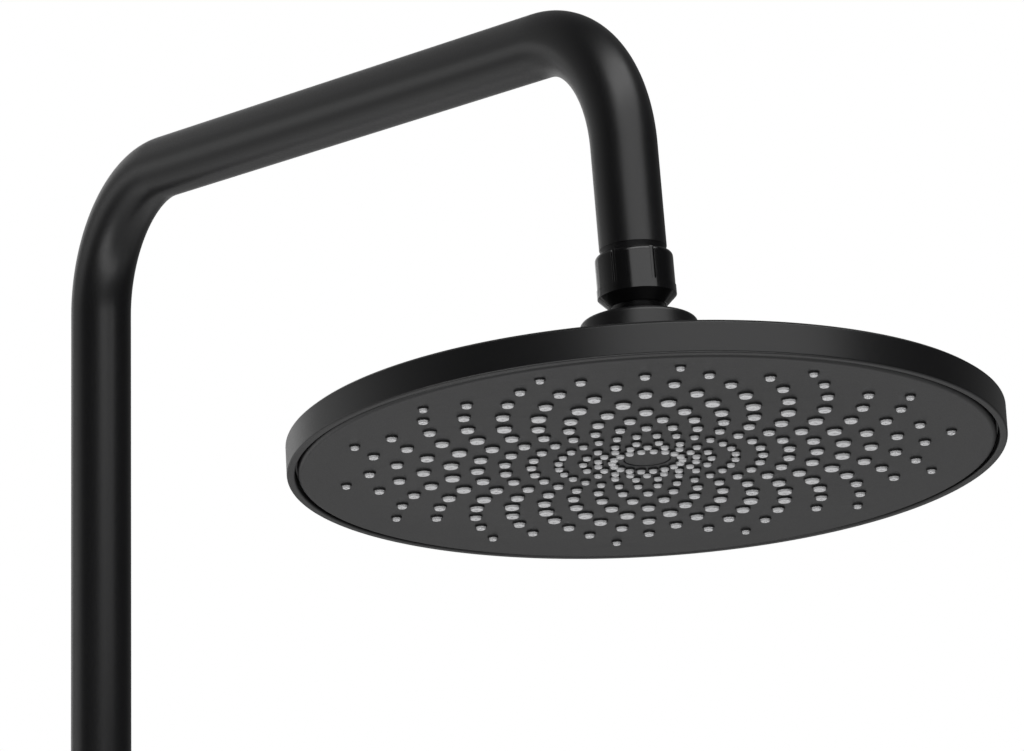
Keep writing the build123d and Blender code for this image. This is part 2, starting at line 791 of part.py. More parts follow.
# Lower union nut: hexagon, captive on the flange, turns freely
with BuildPart() as lower_union_nut:
    washer_bottom = washer_top - lower_washer_thickness
    nut_bottom = washer_bottom - lower_thread_length
    lip_top = riser_end_z + lower_lip_height
    with BuildSketch(riser_frame.offset(nut_bottom)):
        RegularPolygon(lower_nut_flat_radius, 6, major_radius=False)
    extrude(amount=lip_top - nut_bottom)
    revolve(
        turned_outline(
            riser_frame,
            (0, nut_bottom),
            (lower_nut_corner_radius - lower_nut_corner_chamfer, nut_bottom),
            (lower_nut_corner_radius, nut_bottom + lower_nut_corner_chamfer),
            (lower_nut_corner_radius, lip_top - lower_nut_corner_chamfer),
            (lower_nut_corner_radius - lower_nut_corner_chamfer, lip_top),
            (0, lip_top),
        ),
        axis=axis_of(riser_frame),
        mode=Mode.INTERSECT,
    )
    with BuildSketch(riser_frame.offset(nut_bottom)):
        Circle(lower_thread_radius)
    extrude(amount=lower_thread_length, mode=Mode.SUBTRACT)
    with BuildSketch(riser_frame.offset(washer_bottom)):
        Circle(lower_relief_radius)
    extrude(amount=riser_end_z - washer_bottom, mode=Mode.SUBTRACT)
    with BuildSketch(riser_frame.offset(riser_end_z)):
        Circle(tube_radius + lower_lip_clearance)
    extrude(amount=lower_lip_height, mode=Mode.SUBTRACT)
lower_union_nut.part.label = "lower_union_nut"

# Wall plate: disc with two screw holes and the spigot that carries the bracket
with BuildPart() as wall_plate:
    groove_middle = grub_screw_from_wall
    with BuildSketch(wall_frame):
        Circle(plate_radius)
    extrude(amount=plate_thickness)
    with BuildSketch(wall_frame.offset(plate_thickness)):
        Circle(spigot_radius)
    extrude(amount=spigot_length)
    with BuildSketch(wall_frame.offset(groove_middle - spigot_groove_width / 2)):
        Circle(spigot_radius)
        Circle(spigot_radius - spigot_groove_depth, mode=Mode.SUBTRACT)
    extrude(amount=spigot_groove_width, mode=Mode.SUBTRACT)
    with Locations(wall_frame.offset(plate_thickness)):
        with GridLocations(plate_screw_spacing, 0, 2, 1):
            CounterSinkHole(plate_screw_hole_radius, plate_countersink_radius, depth=plate_thickness)
wall_plate.part.label = "wall_plate"

# Cover rosette: spun cup that hides the plate
with BuildPart() as cover_rosette:
    hole_radius = bracket_arm_radius + bracket_clearance
    skirt_radius = rosette_radius - rosette_wall
    ceiling = rosette_depth - rosette_wall
    with BuildSketch(section_of(wall_frame)):
        with BuildLine():
            Polyline((skirt_radius, 0), (rosette_radius, 0), (rosette_radius, rosette_edge))
            TangentArc((hole_radius, rosette_depth), (rosette_radius, rosette_edge), tangent=(1, 0))
            Line((hole_radius, rosette_depth), (hole_radius, ceiling))
            TangentArc((hole_radius, ceiling), (skirt_radius, rosette_edge - rosette_wall), tangent=(1, 0))
            Line((skirt_radius, rosette_edge - rosette_wall), (skirt_radius, 0))
        make_face()
    revolve(axis=axis_of(wall_frame))
cover_rosette.part.label = "cover_rosette"


def clamp_half(side, ear_hole_radius, head_recess):
    """Half of the riser clamp on one side of its split, side +1 towards the wall."""
    split_y = riser_y + side * clamp_gap / 2
    with BuildPart() as half:
        with BuildSketch(riser_frame.offset(-clamp_height / 2)):
            Circle(clamp_radius)
        extrude(amount=clamp_height)
        chamfer(half.edges().filter_by(GeomType.CIRCLE), clamp_edge_chamfer)
        with BuildSketch(riser_frame.offset(-clamp_ear_height / 2)):
            Rectangle(2 * clamp_ear_reach, 2 * clamp_ear_thickness + clamp_gap)
        extrude(amount=clamp_ear_height)
        with BuildSketch(riser_frame.offset(-clamp_height / 2)):
            Circle(clamp_bore_radius)
        extrude(amount=clamp_height, mode=Mode.SUBTRACT)
        with BuildSketch(Plane.XZ.offset(-split_y)):
            with GridLocations(2 * clamp_screw_offset, 0, 2, 1):
                Circle(ear_hole_radius)
        extrude(amount=-side * clamp_ear_thickness, mode=Mode.SUBTRACT)
        if head_recess:
            with BuildSketch(Plane.XZ.offset(-split_y - side * clamp_ear_thickness)):
                with GridLocations(2 * clamp_screw_offset, 0, 2, 1):
                    Circle(clamp_screw_head_radius + screw_clearance)
            extrude(amount=side * head_recess, mode=Mode.SUBTRACT)
        split(bisect_by=Plane.XZ.offset(-split_y), keep=Keep.BOTTOM if side > 0 else Keep.TOP)
    return half.part


# Bracket arm: hollow arm with the rear half of the riser clamp
rear_half = clamp_half(1, clamp_screw_radius + screw_clearance, 0)
with BuildPart() as bracket_arm:
    arm_start = plate_thickness
    with BuildSketch(wall_frame.offset(arm_start)):
        Circle(bracket_arm_radius)
    extrude(amount=wall_standoff - clamp_bore_radius - clamp_wall - arm_start)
    add(rear_half)
    with BuildSketch(wall_frame.offset(arm_start)):
        Circle(spigot_radius + bracket_clearance)
    extrude(amount=spigot_length + spigot_end_gap, mode=Mode.SUBTRACT)
    with BuildSketch(Plane(origin=(0, -grub_screw_from_wall, 0), x_dir=(1, 0, 0), z_dir=(0, 0, -1))):
        Circle(grub_screw_radius + screw_clearance)
    extrude(amount=bracket_arm_radius, mode=Mode.SUBTRACT)
bracket_arm.part.label = "bracket_arm"

# Clamp cap: front half of the riser clamp
front_half = clamp_half(-1, clamp_screw_radius + 2 * screw_clearance, clamp_screw_head_recess)
with BuildPart() as clamp_cap:
    add(front_half)
clamp_cap.part.label = "clamp_cap"

# Clamp screws: two socket heads, cap to arm
with BuildPart() as clamp_screws:
    head_seat = wall_standoff + clamp_gap / 2 + clamp_ear_thickness - clamp_screw_head_recess
    with BuildSketch(wall_frame.offset(head_seat)):
        with GridLocations(2 * clamp_screw_offset, 0, 2, 1):
            Circle(clamp_screw_head_radius)
    extrude(amount=clamp_screw_head_height)
    with BuildSketch(wall_frame.offset(head_seat)):
        with GridLocations(2 * clamp_screw_offset, 0, 2, 1):
            Circle(clamp_screw_radius)
    extrude(amount=-(clamp_ear_thickness - clamp_screw_head_recess + clamp_gap + clamp_screw_bite))
    with BuildSketch(wall_frame.offset(head_seat + clamp_screw_head_height)):
        with GridLocations(2 * clamp_screw_offset, 0, 2, 1):
            RegularPolygon(clamp_screw_key_across_flats / 2, 6, major_radius=False)
    extrude(amount=-clamp_screw_key_depth, mode=Mode.SUBTRACT)
clamp_screws.part.label = "clamp_screws"

# Clamp liner: split plastic sleeve between riser and clamp
with BuildPart() as clamp_liner:
    with BuildSketch(riser_frame.offset(-liner_height / 2)):
        Circle(liner_inside + liner_thickness)
        Circle(liner_inside, mode=Mode.SUBTRACT)
        with Locations((liner_inside, 0)):
            Rectangle(4 * liner_thickness, liner_split, mode=Mode.SUBTRACT)
    extrude(amount=liner_height)
clamp_liner.part.label = "clamp_liner"

# Bracket grub screw: locks the arm on the spigot from below
with BuildPart() as bracket_grub_screw:
    screw_tip = spigot_radius - spigot_groove_depth
    screw_end = bracket_arm_radius - grub_screw_sink
    screw_base = Plane(origin=(0, -grub_screw_from_wall, -screw_tip), x_dir=(1, 0, 0), z_dir=(0, 0, -1))
    with BuildSketch(screw_base):
        Circle(grub_screw_radius)
    extrude(amount=screw_end - screw_tip)
    with BuildSketch(screw_base.offset(screw_end - screw_tip)):
        RegularPolygon(grub_key_across_flats / 2, 6, major_radius=False)
    extrude(amount=-grub_key_depth, mode=Mode.SUBTRACT)
bracket_grub_screw.part.label = "bracket_grub_screw"

pieces = [
    riser_arm_tube,
    arm_nipple,
    union_nut,
    ball_seat,
    inlet_washer,
    filter_screen,
    flow_regulator,
    regulator_ring,
    ball_stem,
    neck_collar,
    stem_seal,
    back_shell,
    face_plate,
    nozzle_mat,
    spray_plate,
    chamber_seal,
    face_screws,
    centre_screw,
    centre_cap,
    riser_tailpiece,
    lower_washer,
    lower_union_nut,
    wall_plate,
    cover_rosette,
    bracket_arm,
    clamp_cap,
    clamp_screws,
    clamp_liner,
    bracket_grub_screw,
]
os.makedirs("parts", exist_ok=True)
for piece in pieces:
    export_step(piece.part, f"parts/{piece.part.label}.step")
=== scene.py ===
import bpy
import numpy as np
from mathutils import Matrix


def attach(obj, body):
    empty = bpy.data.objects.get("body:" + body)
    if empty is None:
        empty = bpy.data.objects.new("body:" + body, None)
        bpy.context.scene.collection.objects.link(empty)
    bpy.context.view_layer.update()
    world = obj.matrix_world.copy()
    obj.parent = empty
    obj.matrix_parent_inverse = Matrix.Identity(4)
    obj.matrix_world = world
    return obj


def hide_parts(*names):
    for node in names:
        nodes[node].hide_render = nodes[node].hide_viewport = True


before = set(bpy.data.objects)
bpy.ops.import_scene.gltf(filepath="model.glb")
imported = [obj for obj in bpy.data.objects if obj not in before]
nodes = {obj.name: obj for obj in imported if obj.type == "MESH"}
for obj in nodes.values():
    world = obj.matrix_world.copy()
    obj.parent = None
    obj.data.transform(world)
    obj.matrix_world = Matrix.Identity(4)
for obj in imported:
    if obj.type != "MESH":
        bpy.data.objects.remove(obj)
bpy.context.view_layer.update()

# Wall plate: turned steel disc with a spigot, held to the wall by two countersunk screws and
# hidden by the rosette. Bare metal with the fine rings that the lathe leaves.


def finish_of(name, tones, roughness, grain, relief, metallic=0.0, stretch=(1, 1, 1)):
    """A surface finish. Fine noise of `grain` millimetres moves the roughness between its two values
    and lifts the surface by `relief` millimetres, and cloudy noise forty times as coarse mixes the
    two tones. `stretch` squeezes the fine noise along an axis, for brush or lathe marks."""
    material = bpy.data.materials.new(name)
    material.use_nodes = True
    tree, link = material.node_tree.nodes, material.node_tree.links.new
    shader = tree["Principled BSDF"]
    shader.inputs["Metallic"].default_value = metallic
    place = tree.new("ShaderNodeTexCoord").outputs["Object"]
    squeeze = tree.new("ShaderNodeMapping")
    squeeze.inputs["Scale"].default_value = stretch
    link(place, squeeze.inputs["Vector"])
    cloud = tree.new("ShaderNodeTexNoise")
    cloud.inputs["Scale"].default_value = 25 / grain
    cloud.inputs["Detail"].default_value = 3
    link(place, cloud.inputs["Vector"])
    fine = tree.new("ShaderNodeTexNoise")
    fine.inputs["Scale"].default_value = 1000 / grain
    fine.inputs["Detail"].default_value = 2
    link(squeeze.outputs["Vector"], fine.inputs["Vector"])
    tone = tree.new("ShaderNodeMix")
    tone.data_type = "RGBA"
    tone.inputs["A"].default_value = (*tones[0], 1)
    tone.inputs["B"].default_value = (*tones[1], 1)
    link(cloud.outputs["Fac"], tone.inputs["Factor"])
    link(tone.outputs["Result"], shader.inputs["Base Color"])
    gloss = tree.new("ShaderNodeMapRange")
    gloss.inputs["From Min"].default_value = 0.25
    gloss.inputs["From Max"].default_value = 0.75
    gloss.inputs["To Min"].default_value = roughness[0]
    gloss.inputs["To Max"].default_value = roughness[1]
    link(fine.outputs["Fac"], gloss.inputs["Value"])
    link(gloss.outputs["Result"], shader.inputs["Roughness"])
    lift = tree.new("ShaderNodeBump")
    lift.inputs["Distance"].default_value = relief / 1000
    link(fine.outputs["Fac"], lift.inputs["Height"])
    link(lift.outputs["Normal"], shader.inputs["Normal"])
    return material


def finish_nodes(material, *names):
    """Puts a finish on CAD nodes that are shown as they are."""
    for name in names:
        for held in nodes[name].material_slots:
            held.material = material


turned_steel = finish_of("turned_steel", ((0.46, 0.45, 0.44), (0.56, 0.55, 0.54)), (0.24, 0.38),
                         0.6, 0.004, metallic=1.0, stretch=(1, 6, 1))
finish_nodes(turned_steel, "wall_plate")

# Bracket: arm and clamp cap, die cast and baked in a satin black coat. The arm slides over the
# spigot and is locked by a grub screw from below, and two socket screws close the clamp.
black_coat = finish_of("black_coat", ((0.0068, 0.0068, 0.0074), (0.0088, 0.0088, 0.0094)), (0.30, 0.40),
                       0.7, 0.003)
screw_steel = finish_of("screw_steel", ((0.10, 0.10, 0.105), (0.14, 0.14, 0.145)), (0.28, 0.42),
                        0.35, 0.004, metallic=1.0)
black_nylon = finish_of("black_nylon", ((0.012, 0.012, 0.013), (0.017, 0.017, 0.018)), (0.48, 0.62),
                        0.5, 0.008)
finish_nodes(black_coat, "bracket_arm", "clamp_cap")
finish_nodes(screw_steel, "clamp_screws", "bracket_grub_screw")
finish_nodes(black_nylon, "clamp_liner")

# Cover rosette: thin brass cup spun to shape and coated black, pushed along the bracket arm
# until it meets the wall and hides the plate and its screws.
rosette_radius, rosette_depth, rosette_wall, rosette_edge = 28.0, 12.0, 1.5, 3.5
rosette_hole = 9.05


def unit(vector):
    """The same direction at length one."""
    return vector / np.linalg.norm(vector, axis=-1, keepdims=True)


def rounded(corners, steps=4):
    """A closed outline whose corners are turned into arcs. A corner is radius, height and the arc's
    own radius, and with an arc radius of zero it stays a plain point. Each arc point is the arc's
    centre plus its two end arms, mixed by the sines of the angles that are left to each end."""
    corners = np.asarray(corners, float)
    tip, size = corners[:, None, :2], corners[:, None, 2:]
    back = unit(np.roll(corners, 1, 0)[:, None, :2] - tip)
    ahead = unit(np.roll(corners, -1, 0)[:, None, :2] - tip)
    half = np.arccos(np.clip((back * ahead).sum(-1, keepdims=True), -1, 1)) / 2
    inward = (back + ahead) / np.maximum(np.linalg.norm(back + ahead, axis=-1, keepdims=True), 1e-9)
    middle = tip + inward * size / np.sin(half)
    start = tip + back * size / np.tan(half) - middle
    end = tip + ahead * size / np.tan(half) - middle
    sweep = np.maximum(np.pi - 2 * half, 1e-6)
    share = np.linspace(0, 1, steps + 1)[None, :, None]
    arcs = middle + (np.sin((1 - share) * sweep) * start + np.sin(share * sweep) * end) / np.sin(sweep)
    outline = arcs.reshape(-1, 2)
    return outline[np.linalg.norm(outline - np.roll(outline, 1, 0), axis=1) > 1e-5]


def arc_between(start, middle, end, count):
    """Points on the circle through three points, at equal angles seen from its centre, which is
    where the lines square to both chords at their middles meet."""
    start, middle, end = (np.array(point, float) for point in (start, middle, end))
    chords = np.stack([middle - start, end - start])
    squares = np.array([middle @ middle - start @ start, end @ end - start @ start])
    centre = np.linalg.solve(2 * chords, squares)
    angles = np.unwrap([np.arctan2(*(point - centre)[::-1]) for point in (start, middle, end)])
    turn = np.linspace(angles[0], angles[2], count)
    return centre + np.linalg.norm(start - centre) * np.stack([np.cos(turn), np.sin(turn)], 1)


def plain(points):
    """Outline points that stay as they are, as corners for `rounded`."""
    return np.column_stack([points, np.zeros(len(points))])


def straight(origin, up, across=(1, 0, 0)):
    """A straight path: its place at a distance is the origin plus that distance along `up`."""
    up, across = unit(np.array(up, float)), unit(np.array(across, float))
    return lambda distance: (origin + distance[:, None] * up, across, np.cross(up, across))


def carried(outline, path, count=96, angles=None, reach=None):
    """A closed outline of radius and distance carried round a path. Each point is the path's place at
    that distance plus the radius along the direction at each angle; `reach` may change the radius
    by distance and angle. Points with no radius become one point, so that a pole is closed."""
    radius, distance = outline.T
    angle = np.linspace(0, 2 * np.pi, count, endpoint=False) if angles is None else angles
    place, across, side = path(distance)
    spread = radius[None, :] * np.ones((len(angle), 1))
    if reach is not None:
        spread = reach(spread, distance[None, :], angle[:, None])
    turn = angle[:, None, None]
    points = place + spread[:, :, None] * (np.cos(turn) * across + np.sin(turn) * side)
    row, column = np.arange(len(angle))[:, None], np.arange(len(outline))[None, :]
    index = np.where(radius[None, :] < 1e-6, 0, row) * len(outline) + column
    onward, beside = np.roll(index, -1, 1), np.roll(index, -1, 0)
    faces = np.stack([index, onward, np.roll(beside, -1, 1), beside], -1)
    return points.reshape(-1, 3), faces.reshape(-1, 4)


def areas_of(points, faces):
    """Twice each face's area as a vector square to it, the cross product of its diagonals."""
    return np.cross(points[faces[:, 2]] - points[faces[:, 0]], points[faces[:, 3]] - points[faces[:, 1]])


def shown_as(name, points, faces, material, body, node):
    """Makes a piece from points in millimetres and faces of four corners, which stands for one CAD
    node. A corner that a face names twice is dropped. The faces are turned outward, for which the sum
    of their centres times their areas has to be above zero, and each point's normal is the sum of
    the area vectors of its faces."""
    if (points[faces].mean(1) * areas_of(points, faces)).sum() < 0:
        faces = faces[:, ::-1]
    kept = faces != np.roll(faces, -1, 1)
    faces, kept = faces[kept.sum(1) > 2], kept[kept.sum(1) > 2]
    used, corners = np.unique(faces[kept], return_inverse=True)
    mesh = bpy.data.meshes.new(name)
    mesh.vertices.add(len(used))
    mesh.vertices.foreach_set("co", (points[used] / 1000).astype(np.float32).ravel())
    mesh.loops.add(len(corners))
    mesh.loops.foreach_set("vertex_index", corners.astype(np.int32).ravel())
    mesh.polygons.add(len(faces))
    mesh.polygons.foreach_set("loop_start", (np.cumsum(kept.sum(1)) - kept.sum(1)).astype(np.int32))
    mesh.update(calc_edges=True)
    mesh.shade_smooth()
    area = areas_of(points, faces)
    normals = np.zeros_like(points)
    for corner in range(4):
        np.add.at(normals, faces[kept[:, corner], corner], area[kept[:, corner]])
    mesh.normals_split_custom_set_from_vertices(unit(normals[used]).astype(np.float32))
    mesh.materials.append(material)
    piece = bpy.data.objects.new(name, mesh)
    bpy.context.scene.collection.objects.link(piece)
    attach(piece, body)
    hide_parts(node)


def dome_of(rim, top, count=20):
    """The rosette's crown: an arc that leaves the rim square to the wall and ends at the hole."""
    (rim_radius, rim_height), (top_radius, top_height) = rim, top
    drop, span = top_height - rim_height, rim_radius - top_radius
    size = (drop**2 + span**2) / (2 * span)
    turn = np.linspace(0, np.arcsin(drop / size), count)
    return np.stack([rim_radius - size * (1 - np.cos(turn)), rim_height + size * np.sin(turn)], 1)


crown = dome_of((rosette_radius, rosette_edge), (rosette_hole, rosette_depth))
inside = dome_of((rosette_radius - rosette_wall, rosette_edge - rosette_wall),
                 (rosette_hole, rosette_depth - rosette_wall))
rosette_outline = rounded(np.vstack([
    [(rosette_radius - rosette_wall, 0, 0.3), (rosette_radius, 0, 0.4)],
    plain(crown[:-1]),
    [(*crown[-1], 0.3), (*inside[-1], 0.3)],
    plain(inside[-2::-1]),
]))
points, faces = carried(rosette_outline, straight((0, 0, 0), (0, -1, 0)))
shown_as("rosette", points, faces, black_coat, "rosette", "cover_rosette")

# Riser and arm: one brass tube, bent twice on the same former and coated satin black. It runs up
# from the lower union, over towards the room and down to the ball joint, leaning 7 degrees.
tube_radius, tube_bore, bend = 11.0, 9.8, 48.0
riser_y, riser_foot, arm_height, arm_reach = -60.0, -130.0, 290.0, 337.0
drop_length, drop_lean = 77.3, np.radians(7.3)
second_turn = np.pi / 2 - drop_lean
corner_reach = bend * np.tan(second_turn / 2)
runs = np.array([
    arm_height - riser_foot - bend,
    bend * np.pi / 2,
    arm_reach - bend - corner_reach,
    bend * second_turn,
    drop_length - corner_reach,
])
run_ends = np.cumsum(runs)


def tube_route(distance):
    """The tube's centre line: up, a bend, across, a bend and down. The place is the foot plus each
    straight run along its direction plus, for each bend, its radius times the change of the sine
    and cosine of the heading, which is counted from straight up."""
    first = np.clip((distance - run_ends[0]) / bend, 0, np.pi / 2)
    second = np.clip((distance - run_ends[2]) / bend, 0, second_turn) + np.pi / 2
    last = second_turn + np.pi / 2
    up_run = np.clip(distance, None, runs[0])
    arm_run = np.clip(distance - run_ends[1], 0, runs[2])
    drop_run = np.clip(distance - run_ends[3], 0, None)
    y = riser_y + bend * (np.cos(first) - 1 + np.cos(second)) - arm_run - drop_run * np.sin(last)
    z = riser_foot + up_run + bend * (np.sin(first) + np.sin(second) - 1) + drop_run * np.cos(last)
    heading = first + second - np.pi / 2
    place = np.stack([0 * y, y, z], 1)
    return place, np.stack([0 * y, -np.cos(heading), -np.sin(heading)], 1), np.array([1.0, 0, 0])


first_station, straight_points, riser_bend_points, drop_bend_points = 40, 4, 61, 56
stations = np.concatenate([
    np.linspace(first_station, run_ends[0], straight_points),
    np.linspace(run_ends[0], run_ends[1], riser_bend_points)[1:],
    np.linspace(run_ends[1], run_ends[2], straight_points)[1:],
    np.linspace(run_ends[2], run_ends[3], drop_bend_points)[1:],
])
tube_outline = rounded(np.vstack([
    [(tube_radius, 0, 0.3)],
    plain(np.column_stack([np.full(len(stations), tube_radius), stations])),
    [(tube_radius, run_ends[4], 0.3), (tube_bore, run_ends[4], 0.3)],
    plain(np.column_stack([np.full(len(stations), tube_bore), stations[::-1]])),
    [(tube_bore, 0, 0.3)],
]), steps=3)
points, faces = carried(tube_outline, tube_route, count=120)
shown_as("riser_and_arm", points, faces, black_coat, "root", "riser_arm_tube")

# Lower union: brass tailpiece brazed into the riser's foot, rubber washer and a captive coated
# hexagon nut with a pipe thread, which turns freely on the tailpiece's flange.
raw_brass = finish_of("raw_brass", ((0.55, 0.38, 0.14), (0.66, 0.47, 0.19)), (0.22, 0.36), 0.5, 0.004,
                      metallic=1.0, stretch=(1, 1, 5))
black_rubber = finish_of("black_rubber", ((0.014, 0.014, 0.014), (0.021, 0.021, 0.021)), (0.62, 0.78),
                         0.4, 0.012)
finish_nodes(raw_brass, "riser_tailpiece")
finish_nodes(black_rubber, "lower_washer")

hexagon_flat, hexagon_corner, hexagon_chamfer = 15.0, 16.6, 1.4
union_top, union_foot, washer_foot = -127.0, -146.0, -135.5
thread_bore, thread_root, thread_pitch = 12.06, 13.15, 1.814
thread_foot_gap, thread_top_gap, thread_run_out = 0.6, 0.5, 1.2
flank_slope, crest_share = 3.2, 0.3
relief_radius, lip_radius, lip_height, mouth_chamfer = 12.5, 11.2, 3.0, 0.45


def hexagon_and_thread(radius, height, angle):
    """The nut's outside is the nearer of the hexagon and the turned chamfer, and its thread is a ridge
    whose phase goes round once for each pitch that it climbs, faded out at both ends."""
    across = np.abs((angle + np.pi / 6) % (np.pi / 3) - np.pi / 6)
    hexagon = np.minimum(radius, hexagon_flat / np.cos(across))
    wave = (height - union_foot) / thread_pitch - angle / (2 * np.pi)
    ridge = np.clip(flank_slope * np.abs((wave % 1) - 0.5) - crest_share, 0, 1)
    fade_in = np.clip((height - union_foot - thread_foot_gap) / thread_run_out, 0, 1)
    fade_out = np.clip((washer_foot - height - thread_top_gap) / thread_run_out, 0, 1)
    thread = thread_bore + (thread_root - thread_bore) * (1 - ridge) * (fade_in * fade_out)
    in_thread = (np.abs(radius - thread_bore) < 1e-3) & (height < washer_foot)
    return np.where(radius > relief_radius, hexagon, np.where(in_thread, thread, radius))


chamfer_line = np.linspace(0, hexagon_chamfer, 6)
thread_line = np.linspace(washer_foot - 0.4, union_foot + thread_foot_gap, 90)
hexagon_outline = rounded(np.vstack([
    [(thread_bore + mouth_chamfer, union_foot, 0.1)],
    plain(np.column_stack([hexagon_corner - hexagon_chamfer + chamfer_line, union_foot + chamfer_line])),
    plain(np.column_stack([hexagon_corner - chamfer_line, union_top - hexagon_chamfer + chamfer_line])),
    [(lip_radius, union_top, 0.3), (lip_radius, union_top - lip_height, 0.1),
     (relief_radius, union_top - lip_height, 0.1), (relief_radius, washer_foot, 0.1),
     (thread_bore, washer_foot, 0.1)],
    plain(np.column_stack([np.full(len(thread_line), thread_bore), thread_line])),
]))
points, faces = carried(hexagon_outline, straight((0, riser_y, 0), (0, 0, 1)), count=144,
                        reach=hexagon_and_thread)
shown_as("union_hexagon", points, faces, black_coat, "lower_nut", "lower_union_nut")

# Arm end: threaded brass nipple brazed into the drop, with the flow regulator and its rubber ring,
# a steel screen, a rubber washer and the white plastic seat that presses on the ball.
white_plastic = finish_of("white_plastic", ((0.70, 0.70, 0.68), (0.77, 0.77, 0.75)), (0.32, 0.46),
                          0.6, 0.004)
# The nipple takes the arm's black coat. Where it shows as a band between the tube's end and the union
# nut, that black also stands in for the shade in the gap, as painted shade.
finish_nodes(black_coat, "arm_nipple")
finish_nodes(white_plastic, "ball_seat", "flow_regulator")
finish_nodes(black_rubber, "inlet_washer", "regulator_ring")
finish_nodes(turned_steel, "filter_screen")

# Ball stem: one turned brass piece, bored for the water. Its ball sits between seat and union nut,
# and its threaded shank screws into the head. The ball is coated and polished by its seat.
ball_reach, head_lean_side, head_lean_back = 94.4, np.radians(2.45), np.radians(8.2)
ball_centre = np.array((0, riser_y - arm_reach - ball_reach * np.sin(drop_lean),
                        arm_height - ball_reach * np.cos(drop_lean)))
head_up = unit(np.array((np.tan(head_lean_side), np.tan(head_lean_back), 1.0)))
head_across = (1, 0, -head_up[0] / head_up[2])
ball_radius, ball_flat, stem_bore = 9.25, 5.3, 4.5
neck_radius, shoulder_radius, shank_radius = 6.8, 9.8, 8.3
shoulder_top, shoulder_foot, shank_foot = -8.2, -10.0, -25.0

flat_height = np.sqrt(ball_radius**2 - ball_flat**2)
neck_height = -np.sqrt(ball_radius**2 - neck_radius**2)
ball_line = arc_between((ball_flat, flat_height), (ball_radius, 0), (neck_radius, neck_height), 40)
stem_outline = rounded(np.vstack([
    [(*ball_line[0], 0.15)],
    plain(ball_line[1:-1]),
    [(*ball_line[-1], 0.1), (neck_radius, shoulder_top, 0.3), (shoulder_radius, shoulder_top, 0.3),
     (shoulder_radius, shoulder_foot, 0.2), (shank_radius, shoulder_foot, 0.2),
     (shank_radius, shank_foot, 0.4), (stem_bore, shank_foot, 0.3), (stem_bore, flat_height, 0.3)],
]))
ball_coat = finish_of("ball_coat", ((0.0060, 0.0060, 0.0064), (0.0080, 0.0080, 0.0084)), (0.20, 0.28),
                      0.6, 0.002)
points, faces = carried(stem_outline, straight(ball_centre, head_up, head_across))
shown_as("ball_and_stem", points, faces, ball_coat, "ball", "ball_stem")

# Union nut: turned brass barrel coated black, with six grip slots down to a plain band, a wide
# chamfer and a lip that holds the ball. It screws onto the nipple and clamps seat and washer.
drop_up = np.array((0, np.sin(drop_lean), np.cos(drop_lean)))
nut_radius, barrel_radius, nut_thread, cavity_radius = 12.9, 12.72, 10.45, 9.3
nut_foot, nut_chamfer, nut_ledge, nut_top, nut_seat = -2.3, 3.3, 3.9, 15.5, 8.8
slot_width, slot_depth, slot_turn = 1.25, 0.6, np.radians(23)
slot_half = slot_width / 2 / barrel_radius


def grip_slots(radius, height, angle):
    """Above the ledge the barrel is cut back to the slots' floor wherever the angle is in a slot."""
    off = np.abs((angle - slot_turn + np.pi / 6) % (np.pi / 3) - np.pi / 6)
    cut = (off < slot_half) & (height > nut_ledge + 0.02) & (radius > nut_thread + 0.4)
    return np.where(cut, np.minimum(radius, barrel_radius - slot_depth), radius)


slot_side = slot_half + np.array([-0.02, -0.002, 0.004, 0.012])
to_next_slot = np.linspace(slot_side[-1], np.pi / 3 - slot_side[-1], 16)[1:-1]
one_slot = np.concatenate([-slot_side[::-1], [0], slot_side, to_next_slot])
nut_angles = (slot_turn + one_slot[None, :] + np.arange(6)[:, None] * np.pi / 3).ravel()
cavity_turn = 0.12
cavity = arc_between((cavity_radius, 0),
                     (cavity_radius * np.cos(cavity_turn), -cavity_radius * np.sin(cavity_turn)),
                     (np.sqrt(cavity_radius**2 - nut_foot**2), nut_foot), 8)
nut_outline = rounded(np.vstack([
    [(nut_radius - nut_chamfer, nut_foot, 0.25), (nut_radius, nut_foot + nut_chamfer, 0.35),
     (nut_radius, nut_ledge, 0.06),
     (barrel_radius, nut_ledge, 0.05), (barrel_radius, nut_ledge + 0.3, 0), (barrel_radius, nut_top, 2.0),
     (nut_thread, nut_top, 0.05), (nut_thread, nut_seat, 0.1), (cavity_radius, nut_seat, 0.1)],
    plain(cavity[:-1]),
    [(*cavity[-1], 0.12)],
]), steps=6)
nut_coat = finish_of("nut_coat", ((0.0060, 0.0060, 0.0064), (0.0080, 0.0080, 0.0084)), (0.13, 0.19),
                     0.6, 0.001)
points, faces = carried(nut_outline, straight(ball_centre, drop_up), angles=nut_angles, reach=grip_slots)
shown_as("union_nut_slotted", points, faces, nut_coat, "root", "union_nut")

# Neck collar: moulded ring with a rounded shoulder, clamped between the stem's shoulder and the
# head's socket, with a rubber ring under the shank.
collar_top, collar_foot, collar_recess, collar_bore = -7.4, -17.0, 10.2, 8.35
collar_top_radius, collar_foot_radius = 19.0, 20.0
collar_outline = rounded([
    (collar_top_radius, collar_top, 1.8), (collar_foot_radius, collar_foot, 0.25),
    (collar_bore, collar_foot, 0.2), (collar_bore, shoulder_foot, 0.1),
    (collar_recess, shoulder_foot, 0.1), (collar_recess, collar_top, 0.4),
], steps=8)
points, faces = carried(collar_outline, straight(ball_centre, head_up, head_across), count=144)
head_plastic = finish_of("head_plastic", ((0.0050, 0.0050, 0.0054), (0.0066, 0.0066, 0.0070)),
                         (0.32, 0.40), 0.45, 0.004)
shown_as("collar", points, faces, head_plastic, "head", "neck_collar")
finish_nodes(black_rubber, "stem_seal")

